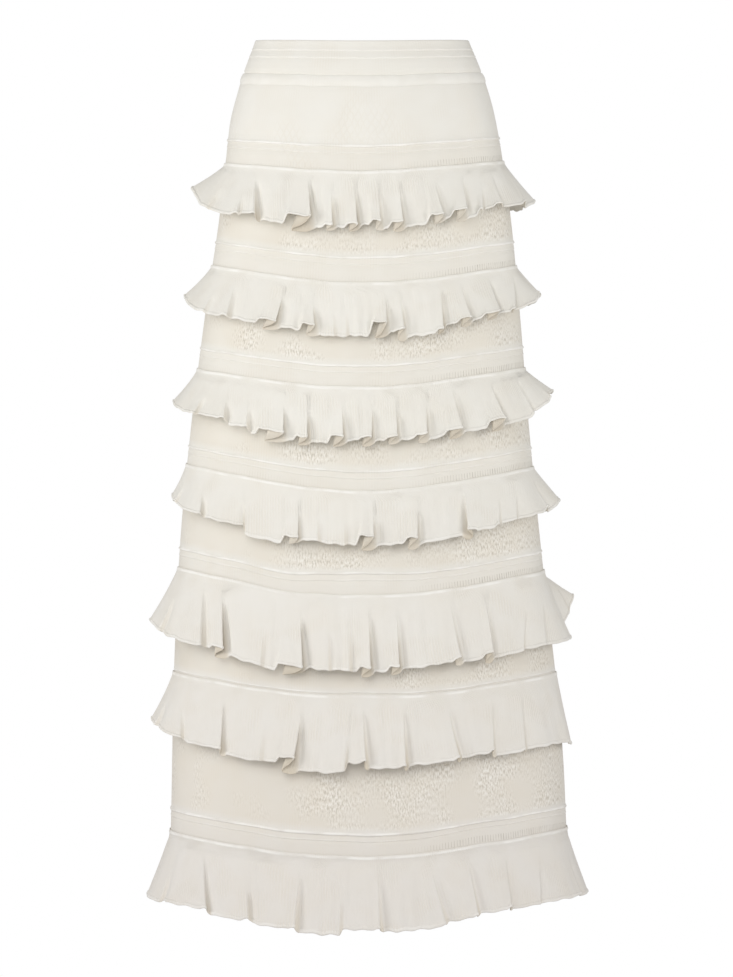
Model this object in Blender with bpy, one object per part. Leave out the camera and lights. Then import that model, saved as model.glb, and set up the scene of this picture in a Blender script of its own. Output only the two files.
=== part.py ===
"""Tiered ruffle skirt: a fitted knit skirt held open at the waist, as it hangs when worn.

Metres, +Z up. The origin is the middle of the waist opening, level with the top edge of the
waistband, and the front faces -Y. Every piece is one wall of knit, and the skirt is hollow from
waist to hem. A place on the cloth is given by how far down it lies from the top edge, measured at
the side seams, and by its turn: degrees round the skirt, 0 at the side on +X, 90 at the front,
180 at the side on -X and 270 at the back.
"""

import math
from collections import namedtuple

import bpy

# ---------------------------------------------------------------- cloth
WALL = 0.0012  # thickness of the knit
SEAM_GAP = 0.0003  # between two pieces that are sewn together
HALVES = (("front", 0.0), ("back", 180.0))  # each half's name and its first turn

# ---------------------------------------------------------------- the body of the skirt
# A level cut through the skirt is a superellipse. Its sway is how far its middle lies to +X.
SQUARENESS = 2.2
Section = namedtuple("Section", "down half_width front back sway")
SECTIONS = (
    Section(0.000, 0.1155, 0.087, 0.087, 0.0000),
    Section(0.033, 0.1285, 0.094, 0.097, 0.0008),
    Section(0.060, 0.1372, 0.099, 0.104, 0.0013),
    Section(0.086, 0.1438, 0.103, 0.111, 0.0012),
    Section(0.130, 0.1503, 0.107, 0.120, 0.0024),
    Section(0.200, 0.1592, 0.112, 0.129, 0.0032),
    Section(0.300, 0.1712, 0.120, 0.137, 0.0002),
    Section(0.410, 0.1826, 0.128, 0.144, -0.0026),
    Section(0.530, 0.1944, 0.137, 0.151, -0.0018),
    Section(0.670, 0.2060, 0.147, 0.159, 0.0026),
    Section(0.770, 0.2120, 0.154, 0.164, 0.0056),
    Section(0.870, 0.2155, 0.160, 0.168, 0.0072),
)

# The seams that the ruffles hang from, one at the foot of each panel. A seam sags by its dip at
# the front, and at the back by a share of that, as the top edge does. It is higher by its tilt at
# the side on +X, and lower by it at the other. Its band is how far above it the panel's ridge runs.
Seam = namedtuple("Seam", "down dip tilt band")
SEAMS = (
    Seam(0.1340, 0.0105, 0.0012, 0.0270),
    Seam(0.2460, 0.0189, -0.0002, 0.0272),
    Seam(0.3575, 0.0195, 0.0006, 0.0240),
    Seam(0.4627, 0.0257, -0.0015, 0.0215),
    Seam(0.5749, 0.0262, -0.0018, 0.0225),
    Seam(0.6870, 0.0234, -0.0003, 0.0045),
    Seam(0.8570, 0.0235, 0.0015, 0.0250),
)
TOP_DIP = 0.0020
BACK_DIP_SHARE = 0.4

# ---------------------------------------------------------------- lines raised round the panels
WAISTBAND_DEPTH = 0.0467
Line = namedtuple("Line", "height half_width")
WAISTBAND_LINE = Line(0.0006, 0.0012)
WAISTBAND_LINES_DOWN = (0.0098, 0.0174)
RIDGE = Line(0.0012, 0.0016)
FINE_RIDGE = Line(0.0006, 0.0010)
FINE_RIDGE_BELOW = 0.0070  # from the ridge to the finer one under it
LEAST_FULL_BAND = 0.0120  # a band narrower than this holds one fine ridge only
WELT_DEPTH = 0.0108  # of the rounded welt along the waistband's foot
WELT_HEIGHT = 0.0016
# The welt from top to foot: shares of its depth, and of its height there.
WELT_SHAPE = ((0.0, -0.2), (0.15, 0.7), (0.5, 1.0), (0.85, 0.7), (1.0, 0.0))

# ---------------------------------------------------------------- ruffles
# A ruffle's length is its cloth from seam to hem. Its hem stands out from the seam by side_out at
# the sides and by front_out at the front and back, and the sides are drawn up by side_lift.
Ruffle = namedtuple("Ruffle", "length side_out front_out side_lift")
RUFFLES = (
    Ruffle(0.066, 0.031, 0.021, 0.006),
    Ruffle(0.062, 0.029, 0.019, 0.005),
    Ruffle(0.063, 0.027, 0.020, 0.007),
    Ruffle(0.062, 0.023, 0.020, 0.008),
    Ruffle(0.087, 0.030, 0.024, 0.010),
    Ruffle(0.082, 0.021, 0.023, 0.011),
    Ruffle(0.080, 0.025, 0.025, 0.003),
)
FLARE_CURVE = 1.1  # above 1, a ruffle leaves its seam more steeply than it ends
FOLD_CURVE = 0.4  # how a trough deepens from seam to hem
FOLD_HALF_WIDTH = 0.0065
HEM_NOTCH = 0.0100  # how much higher the hem is in the deepest trough
LEAST_CLEARANCE = 0.0032  # from the skirt's body to the deepest trough, at the hem
HEM_RUFFLE_TROUGH = 0.006  # how far out the hem ruffle's deepest trough stands
LIP_HEIGHT, LIP_WIDTH = 0.0009, 0.0040  # the rolled hem, thicker than the wall

# The troughs between a ruffle's waves, from side to side across the front: their turn, and how
# deep they are. The fifth ruffle has one more, just behind the side on +X.
Fold = namedtuple("Fold", "turn depth")
FRONT_FOLDS = (
    ((6, 0.4), (25, 0.5), (41, 0.7), (52, 0.7), (70, 0.9), (81, 0.7), (92, 0.9), (105, 0.8),
     (117, 1.0), (130, 0.4), (141, 0.9), (148, 0.5), (163, 0.4)),
    ((7, 0.4), (22, 0.7), (31, 0.7), (43, 0.7), (51, 0.9), (69, 0.9), (78, 1.0), (91, 0.4),
     (103, 0.6), (114, 0.7), (126, 0.8), (147, 0.6), (159, 0.5)),
    ((6, 0.4), (20, 0.9), (34, 0.7), (47, 0.9), (60, 0.9), (72, 0.8), (84, 0.9), (98, 0.9),
     (114, 0.9), (125, 0.7), (137, 0.5), (146, 0.6), (158, 0.7)),
    ((12, 0.4), (27, 0.6), (34, 0.6), (48, 0.9), (65, 0.9), (83, 1.0), (96, 0.4), (108, 0.6),
     (117, 0.7), (136, 0.6), (154, 0.7), (168, 0.4)),
    ((356, 0.9), (15, 0.5), (29, 0.6), (43, 0.9), (54, 0.7), (74, 0.9), (86, 1.0), (95, 0.5),
     (103, 0.6), (115, 0.9), (128, 0.4), (142, 0.9), (149, 0.6), (166, 0.4)),
    ((12, 0.4), (33, 0.6), (43, 0.7), (57, 0.9), (74, 0.9), (89, 1.0), (101, 0.4), (116, 1.0),
     (128, 0.4), (141, 0.7), (157, 0.6), (170, 0.4)),
    ((12, 0.4), (31, 0.7), (42, 0.9), (55, 0.9), (68, 0.9), (86, 0.9), (100, 0.6), (116, 0.9),
     (131, 0.6), (146, 0.9), (163, 0.5)),
)
# Across the back they are evenly strewn: how many, how far one may wander in degrees, how deep
# they are on the whole, and by what share that differs.
BACK_FOLDS, BACK_WANDER, BACK_DEPTH, BACK_DEPTH_SPREAD = 10, 3.5, 0.75, 0.3

# Near the side seams the hems flick in or out, and lift. A flick dies away over its reach, in
# degrees. The last row is a wave of the fifth ruffle that is turned up behind the side on +X.
Flick = namedtuple("Flick", "ruffle turn reach out lift")
FLICKS = (
    Flick(1, 0, 12, 0.003, 0.010),
    Flick(1, 180, 12, 0.004, 0.026),
    Flick(2, 0, 14, -0.003, 0.020),
    Flick(2, 180, 12, 0.002, 0.015),
    Flick(3, 0, 14, 0.004, 0.025),
    Flick(3, 180, 14, -0.003, 0.014),
    Flick(4, 0, 12, 0.006, 0.017),
    Flick(4, 180, 14, -0.009, 0.011),
    Flick(5, 0, 6, 0.000, 0.000),
    Flick(5, 180, 14, 0.000, 0.013),
    Flick(6, 0, 14, -0.005, -0.006),
    Flick(6, 180, 14, 0.003, 0.013),
    Flick(7, 0, 12, -0.002, 0.002),
    Flick(7, 180, 12, 0.002, 0.003),
    Flick(5, 347, 6, 0.010, 0.036),
)

# ---------------------------------------------------------------- fineness of the solids
PANEL_STEPS = 16  # round one half of a panel
LONGEST_STEP = 0.035  # between two rows down the outside of a panel
INNER_STEPS = 3  # down the inside of a panel
RUFFLE_ROWS = (0.0, 0.5)  # shares of a ruffle's length, above its rolled hem
LEAST_STEP = 1.1  # degrees between two columns of a ruffle
SMOOTH_ANGLE = math.radians(50)

# ---------------------------------------------------------------- colours
Knit = namedtuple("Knit", "name colour roughness")
PLAIN_KNIT = Knit("ivory_plain_knit", (0.84, 0.82, 0.78, 1.0), 0.85)
NET_KNIT = Knit("ivory_net_knit", (0.76, 0.72, 0.66, 1.0), 0.90)
RIB_KNIT = Knit("ivory_rib_knit", (0.80, 0.78, 0.72, 1.0), 0.85)


def clear_scene():
    """Removes the objects that the scene opens with."""
    for item in list(bpy.data.objects):
        bpy.data.objects.remove(item, do_unlink=True)


def make_material(knit):
    """A Principled material in one knit's colour and roughness."""
    material = bpy.data.materials.new(knit.name)
    material.use_nodes = True
    shader = material.node_tree.nodes["Principled BSDF"]
    shader.inputs["Base Color"].default_value = knit.colour
    shader.inputs["Roughness"].default_value = knit.roughness
    shader.inputs["Metallic"].default_value = 0.0
    return material


# ---------------------------------------------------------------- the body as a surface
def smooth_through(places, values, at):
    """The value at one place, on a smooth curve through a table's rows."""
    last = len(places) - 1
    at = min(max(at, places[0]), places[last])
    row = next(k for k in range(last) if at <= places[k + 1])

    def slope(k):
        low, high = max(k - 1, 0), min(k + 1, last)
        return (values[high] - values[low]) / (places[high] - places[low])

    span = places[row + 1] - places[row]
    u = (at - places[row]) / span
    start, end = values[row], values[row + 1]
    bend = (u**3 - 2 * u**2 + u) * slope(row) + (u**3 - u**2) * slope(row + 1)
    return start + (end - start) * (3 * u**2 - 2 * u**3) + bend * span


def section_at(down):
    """The body's section at one level."""
    places, *columns = zip(*SECTIONS)
    return Section(down, *(smooth_through(places, column, down) for column in columns))


def height_at(down, turn):
    """The height of the cloth at one place, which sags and tilts as the seams do."""
    places = [0.0] + [seam.down for seam in SEAMS]
    dip = smooth_through(places, [TOP_DIP] + [seam.dip for seam in SEAMS], down)
    tilt = smooth_through(places, [0.0] + [seam.tilt for seam in SEAMS], down)
    angle = math.radians(turn)
    ahead = math.sin(angle)
    if ahead < 0:
        dip *= BACK_DIP_SHARE
    return -down - dip * ahead**2 + tilt * math.cos(angle)


def plan_at(down, turn):
    """The body's outer face at one place, seen from above: x, y and the outward direction."""
    section = section_at(down)
    angle = math.radians(turn)
    wide = section.half_width
    deep = section.front if math.sin(angle) > 0 else section.back
    n = SQUARENESS
    reach = (abs(math.cos(angle) / wide) ** n + abs(math.sin(angle) / deep) ** n) ** (-1 / n)
    x, y = reach * math.cos(angle), -reach * math.sin(angle)
    out_x = math.copysign(abs(x) ** (n - 1) / wide**n, x)
    out_y = math.copysign(abs(y) ** (n - 1) / deep**n, y)
    size = math.hypot(out_x, out_y)
    return x + section.sway, y, out_x / size, out_y / size


def body_point(down, turn, out):
    """A point that stands out from the body's outer face."""
    x, y, out_x, out_y = plan_at(down, turn)
    return x + out * out_x, y + out * out_y, height_at(down, turn)


# ---------------------------------------------------------------- ruffles as surfaces
def turned_apart(turn, other):
    """Degrees from one turn to another, the short way round."""
    return (turn - other + 180.0) % 360.0 - 180.0


def wander(index, salt):
    """A steady number from -1 to 1 that jumps about from one index to the next."""
    return math.sin(12.9898 * (index + 1) + 78.233 * salt)


def folds_of(number):
    """All troughs of one ruffle, front and back."""
    folds = [Fold(*row) for row in FRONT_FOLDS[number]]
    for i in range(BACK_FOLDS):
        turn = 180.0 + (i + 0.5) * 180.0 / BACK_FOLDS + BACK_WANDER * wander(i, number)
        unevenness = BACK_DEPTH_SPREAD * wander(i, number + len(RUFFLES))
        folds.append(Fold(turn, BACK_DEPTH * (1.0 + unevenness)))
    return folds


def trough(folds, turn, reach):
    """How deep in a trough one turn is, from 0 on a crest to 1, where the skirt's own radius is
    reach."""
    crest = 1.0
    for fold in folds:
        away = math.radians(turned_apart(turn, fold.turn)) * reach / FOLD_HALF_WIDTH
        crest *= 1.0 - fold.depth * math.exp(-(away**2))
    return 1.0 - crest


def flick_at(number, turn):
    """How far the flicks push one ruffle's hem out at one turn, and lift it."""
    out, lift = 0.0, 0.0
    for flick in FLICKS:
        if flick.ruffle == number + 1:
            share = math.exp(-((turned_apart(turn, flick.turn) / flick.reach) ** 2))
            out += flick.out * share
            lift += flick.lift * share
    return out, lift


def ruffle_point(number, folds, share, turn, raised=0.0):
    """A point raised from a ruffle's outer face, a share of the way from its seam to its hem."""
    seam, ruffle = SEAMS[number], RUFFLES[number]
    x, y, out_x, out_y = plan_at(seam.down, turn)
    reach = math.hypot(x, y)
    sideways = math.cos(math.radians(turn)) ** 2
    flare = ruffle.front_out + (ruffle.side_out - ruffle.front_out) * sideways
    drop = math.sqrt(ruffle.length**2 - flare**2) * share
    flick_out, flick_lift = flick_at(number, turn)
    crest = (flare + flick_out) * share**FLARE_CURVE

    if number == len(RUFFLES) - 1:  # it carries on from the last panel's wall
        seat = 0.0
        deepest = HEM_RUFFLE_TROUGH * share
    else:
        seat = SEAM_GAP + WALL
        below = plan_at(seam.down + drop, turn)
        deepest = math.hypot(below[0], below[1]) - reach + LEAST_CLEARANCE * share
    depth = trough(folds, turn, reach) * share**FOLD_CURVE
    out = seat + crest - max(crest - deepest, 0.0) * depth + raised
    lift = (ruffle.side_lift * sideways + flick_lift) * share + HEM_NOTCH * depth * share**2
    z = height_at(seam.down, turn) - SEAM_GAP - drop + lift
    return x + out * out_x, y + out * out_y, z


def panel_columns(first_turn):
    """The turns of the columns of one half of a panel."""
    return [first_turn + 180.0 * i / PANEL_STEPS for i in range(PANEL_STEPS + 1)]


def ruffle_columns(folds, first_turn):
    """The turns of the columns of one half of a ruffle: the panels' own, so that a ruffle never
    cuts a panel's corner, and three at each trough wherever they lie clear of those."""
    beside = math.degrees(FOLD_HALF_WIDTH / SECTIONS[-1].half_width)
    turns = panel_columns(first_turn)
    first, last = turns[0], turns[-1]
    for fold in folds:
        for turn in (fold.turn, fold.turn - beside, fold.turn + beside):
            if first < turn < last and min(abs(turn - other) for other in turns) > LEAST_STEP:
                turns.append(turn)
    return sorted(turns)


# ---------------------------------------------------------------- solids
def parted(points, half):
    """Points of one half, moved off the side seams by half of the seam's gap."""
    step = -SEAM_GAP / 2 if half == "front" else SEAM_GAP / 2
    return [(x, y + step, z) for x, y, z in points]


def add_wall(name, outer, inner, material, parent):
    """One closed wall between the rows of its outer and inner faces. Rows go down from the top,
    and all have the same columns. Both faces are cut along the same diagonals, so that they keep
    the wall's thickness apart where the cloth twists."""
    columns = len(outer[0])
    rows = outer + inner
    outer_rows = list(range(len(outer)))
    inner_rows = list(range(len(outer), len(rows)))

    def corner(row, column):
        return row * columns + column

    def strip(upper, lower):
        """The triangles between two rows, facing out."""
        for c in range(columns - 1):
            yield corner(upper, c), corner(upper, c + 1), corner(lower, c + 1)
            yield corner(upper, c), corner(lower, c + 1), corner(lower, c)

    faces = []
    for upper, lower in zip(outer_rows, outer_rows[1:]):
        faces += strip(upper, lower)
    for upper, lower in zip(inner_rows, inner_rows[1:]):
        faces += [face[::-1] for face in strip(upper, lower)]
    faces += strip(inner_rows[0], outer_rows[0])
    faces += strip(outer_rows[-1], inner_rows[-1])
    loop = outer_rows + inner_rows[::-1]
    faces.append([corner(row, 0) for row in loop])
    faces.append([corner(row, columns - 1) for row in reversed(loop)])

    mesh = bpy.data.meshes.new(name)
    mesh.from_pydata([point for row in rows for point in row], [], faces)
    mesh.materials.append(material)
    mesh.shade_smooth()
    mesh.set_sharp_from_angle(angle=SMOOTH_ANGLE)
    wall = bpy.data.objects.new(name, mesh)
    wall.parent = parent
    bpy.context.collection.objects.link(wall)


def add_panel(name, rows, material, parent):
    """A panel's front and back, from its rows of (down, raised) with a plain inside."""
    top, foot = rows[0][0], rows[-1][0]
    for half, first_turn in HALVES:
        turns = panel_columns(first_turn)
        outer, inner = [], []
        for down, raised in rows:
            outer.append(parted([body_point(down, turn, raised) for turn in turns], half))
        for i in range(INNER_STEPS + 1):
            down = top + (foot - top) * i / INNER_STEPS
            inner.append(parted([body_point(down, turn, -WALL) for turn in turns], half))
        add_wall(f"{name}_{half}", outer, inner, material, parent)


def with_long_steps_split(rows):
    """The rows with more between them where they are far apart."""
    filled = [rows[0]]
    for down, raised in rows[1:]:
        last_down, last_raised = filled[-1]
        steps = math.ceil((down - last_down) / LONGEST_STEP)
        for i in range(1, steps):
            share = i / steps
            filled.append(
                (last_down + (down - last_down) * share, last_raised + (raised - last_raised) * share)
            )
        filled.append((down, raised))
    return filled


def line_rows(down, line):
    """The three rows of a line raised round a panel."""
    return [(down - line.half_width, 0.0), (down, line.height), (down + line.half_width, 0.0)]


def add_waistband(material, parent):
    rows = [(0.0, 0.0)]
    for down in WAISTBAND_LINES_DOWN:
        rows += line_rows(down, WAISTBAND_LINE)
    welt_top = WAISTBAND_DEPTH - WELT_DEPTH
    rows.append((welt_top - WAISTBAND_LINE.half_width, 0.0))
    for share, height_share in WELT_SHAPE:
        rows.append((welt_top + WELT_DEPTH * share, WELT_HEIGHT * height_share))
    add_panel("waistband", rows, material, parent)


def add_body_panels(plain, net, parent):
    """The yoke, then the panels below it, each from one seam to the next."""
    top = WAISTBAND_DEPTH + SEAM_GAP
    for number, seam in enumerate(SEAMS):
        ridge_down = seam.down - seam.band
        rows = [(top, 0.0)]
        if seam.band < LEAST_FULL_BAND:
            rows += line_rows(ridge_down, FINE_RIDGE)
        else:
            rows += line_rows(ridge_down, RIDGE)
            rows += line_rows(ridge_down + FINE_RIDGE_BELOW, FINE_RIDGE)
        rows.append((seam.down, 0.0))
        name = "yoke" if number == 0 else f"panel_{number + 1}"
        knit = plain if number == 0 else net
        add_panel(name, with_long_steps_split(rows), knit, parent)
        top = seam.down + SEAM_GAP


def behind(points):
    """A row of a ruffle's inner face, a wall's thickness behind its outer one. The ends stay in
    the side seams' plane."""
    last = len(points) - 1
    row = []
    for i, (x, y, z) in enumerate(points):
        if i in (0, last):
            in_x, in_y = -math.copysign(1.0, x), 0.0
        else:
            along_x = points[i + 1][0] - points[i - 1][0]
            along_y = points[i + 1][1] - points[i - 1][1]
            size = math.hypot(along_x, along_y)
            in_x, in_y = along_y / size, -along_x / size
        row.append((x + WALL * in_x, y + WALL * in_y, z))
    return row


def add_ruffles(material, parent):
    for number, ruffle in enumerate(RUFFLES):
        folds = folds_of(number)
        lip_share = 1.0 - LIP_WIDTH / ruffle.length
        for half, first_turn in HALVES:
            turns = ruffle_columns(folds, first_turn)

            def row(share, raised=0.0):
                return [ruffle_point(number, folds, share, turn, raised) for turn in turns]

            outer = [row(share) for share in RUFFLE_ROWS] + [row(lip_share), row(1.0, LIP_HEIGHT)]
            inner = [behind(row(share)) for share in (*RUFFLE_ROWS, lip_share, 1.0)]
            name = f"ruffle_{number + 1}_{half}"
            outer = [parted(points, half) for points in outer]
            inner = [parted(points, half) for points in inner]
            add_wall(name, outer, inner, material, parent)


def main():
    clear_scene()
    waist = bpy.data.objects.new("waist_opening", None)
    bpy.context.collection.objects.link(waist)
    plain = make_material(PLAIN_KNIT)
    add_waistband(plain, waist)
    add_body_panels(plain, make_material(NET_KNIT), waist)
    add_ruffles(make_material(RIB_KNIT), waist)


main()
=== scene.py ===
"""The visual model of the tiered ruffle skirt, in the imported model's own frame.

Metres, +Z up, the front facing -Y. A place on the cloth is given by its turn, in degrees round the
skirt (0 at the side on +X, 90 at the front, 180 at the side on -X, 270 at the back), and by how far
down it lies from the top edge, measured at the side seams.
"""

import math
from collections import namedtuple

import bpy
import numpy as np
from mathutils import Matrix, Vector


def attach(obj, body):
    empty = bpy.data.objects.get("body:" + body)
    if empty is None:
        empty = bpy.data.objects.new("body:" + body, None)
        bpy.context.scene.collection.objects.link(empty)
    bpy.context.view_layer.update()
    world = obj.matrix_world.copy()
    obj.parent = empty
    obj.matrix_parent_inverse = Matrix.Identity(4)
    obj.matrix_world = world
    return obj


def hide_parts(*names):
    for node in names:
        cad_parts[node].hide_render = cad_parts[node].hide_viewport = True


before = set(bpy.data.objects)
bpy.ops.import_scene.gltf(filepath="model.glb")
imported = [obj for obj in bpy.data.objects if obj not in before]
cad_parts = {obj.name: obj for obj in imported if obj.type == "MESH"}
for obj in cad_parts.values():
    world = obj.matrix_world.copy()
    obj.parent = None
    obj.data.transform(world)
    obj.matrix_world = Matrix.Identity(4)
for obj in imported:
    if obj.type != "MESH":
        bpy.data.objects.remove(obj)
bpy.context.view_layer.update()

# ---------------------------------------------------------------- the skirt's sizes, as in the CAD
WALL = 0.0011
SEAM_GAP = 0.0003
SQUARENESS = 2.2  # of the body from above, 2 for an ellipse

# The body from above, at places down: half its width, how far its front and back are from the
# middle, and how far its middle sways to +X.
Section = namedtuple("Section", "down half_width front back sway")
SECTIONS = (
    Section(0.000, 0.1155, 0.087, 0.087, 0.0000),
    Section(0.033, 0.1285, 0.094, 0.097, 0.0008),
    Section(0.060, 0.1372, 0.099, 0.104, 0.0013),
    Section(0.086, 0.1438, 0.103, 0.111, 0.0012),
    Section(0.130, 0.1503, 0.107, 0.120, 0.0024),
    Section(0.200, 0.1592, 0.112, 0.129, 0.0032),
    Section(0.300, 0.1712, 0.120, 0.137, 0.0002),
    Section(0.410, 0.1826, 0.128, 0.144, -0.0026),
    Section(0.530, 0.1944, 0.137, 0.151, -0.0018),
    Section(0.670, 0.2060, 0.147, 0.159, 0.0026),
    Section(0.770, 0.2120, 0.154, 0.164, 0.0056),
    Section(0.870, 0.2155, 0.160, 0.168, 0.0072),
)

# The panels' lower seams: how far down, how much lower in the middle of the front, how much higher
# on +X, and how far the raised ridge is above the seam.
Seam = namedtuple("Seam", "down dip tilt band")
SEAMS = (
    Seam(0.1340, 0.0105, 0.0012, 0.0270),
    Seam(0.2460, 0.0189, -0.0002, 0.0272),
    Seam(0.3575, 0.0195, 0.0006, 0.0240),
    Seam(0.4627, 0.0257, -0.0015, 0.0215),
    Seam(0.5749, 0.0262, -0.0018, 0.0225),
    Seam(0.6870, 0.0234, -0.0003, 0.0045),
    Seam(0.8570, 0.0235, 0.0015, 0.0250),
)
TOP_DIP = 0.0020
BACK_DIP_SHARE = 0.4
WAISTBAND_DEPTH = 0.0467
WELT_DEPTH, WELT_HEIGHT = 0.0108, 0.0016
WAISTBAND_LINES_DOWN = (0.0098, 0.0174)
FINE_RIDGE_BELOW = 0.0070
LEAST_FULL_BAND = 0.0120  # a lower band has no second ridge and no ladder row

# The ruffles: how long down the cloth, how far the hem stands out from the seam at the sides and
# in front, and how much higher the hem is at the sides.
Ruffle = namedtuple("Ruffle", "length side_out front_out side_lift")
RUFFLES = (
    Ruffle(0.066, 0.031, 0.021, 0.006),
    Ruffle(0.062, 0.029, 0.019, 0.005),
    Ruffle(0.063, 0.027, 0.020, 0.007),
    Ruffle(0.062, 0.023, 0.020, 0.008),
    Ruffle(0.087, 0.030, 0.024, 0.010),
    Ruffle(0.082, 0.021, 0.023, 0.011),
    Ruffle(0.080, 0.025, 0.025, 0.003),
)
FLARE_CURVE = 1.1
LEAST_CLEARANCE = 0.0032
HEM_RUFFLE_TROUGH = 0.006
HEM_SEAM_SHARE = 0.05  # of the hem ruffle's length, where it settles from over its panel's foot

# Where a ruffle's hem stands further out (m) or higher (m): which ruffle, at what turn, and over
# how many degrees to each side.
Flick = namedtuple("Flick", "ruffle turn reach out lift")
FLICKS = (
    Flick(1, 0, 12, 0.003, 0.010),
    Flick(1, 180, 12, 0.004, 0.026),
    Flick(2, 0, 14, -0.003, 0.020),
    Flick(2, 180, 12, 0.002, 0.015),
    Flick(3, 0, 14, 0.004, 0.025),
    Flick(3, 180, 14, 0.000, 0.008),
    Flick(4, 0, 12, 0.006, 0.017),
    Flick(4, 180, 14, -0.009, 0.011),
    Flick(5, 356, 5, -0.011, 0.000),
    Flick(5, 180, 14, 0.000, 0.013),
    Flick(6, 0, 14, -0.005, -0.006),
    Flick(6, 180, 14, 0.003, 0.013),
    Flick(7, 0, 12, -0.002, 0.002),
    Flick(7, 180, 12, 0.002, 0.003),
    Flick(5, 347, 5, 0.013, 0.044),
    Flick(1, 208, 16, 0.0, 0.012),
    Flick(2, 205, 14, 0.0, 0.006),
    Flick(3, 200, 12, 0.0, 0.014),
    Flick(4, 205, 15, 0.0, 0.009),
    Flick(2, 338, 15, 0.0, 0.010),
    Flick(3, 330, 15, 0.0, 0.008),
    Flick(4, 330, 15, 0.0, 0.007),
)

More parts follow.
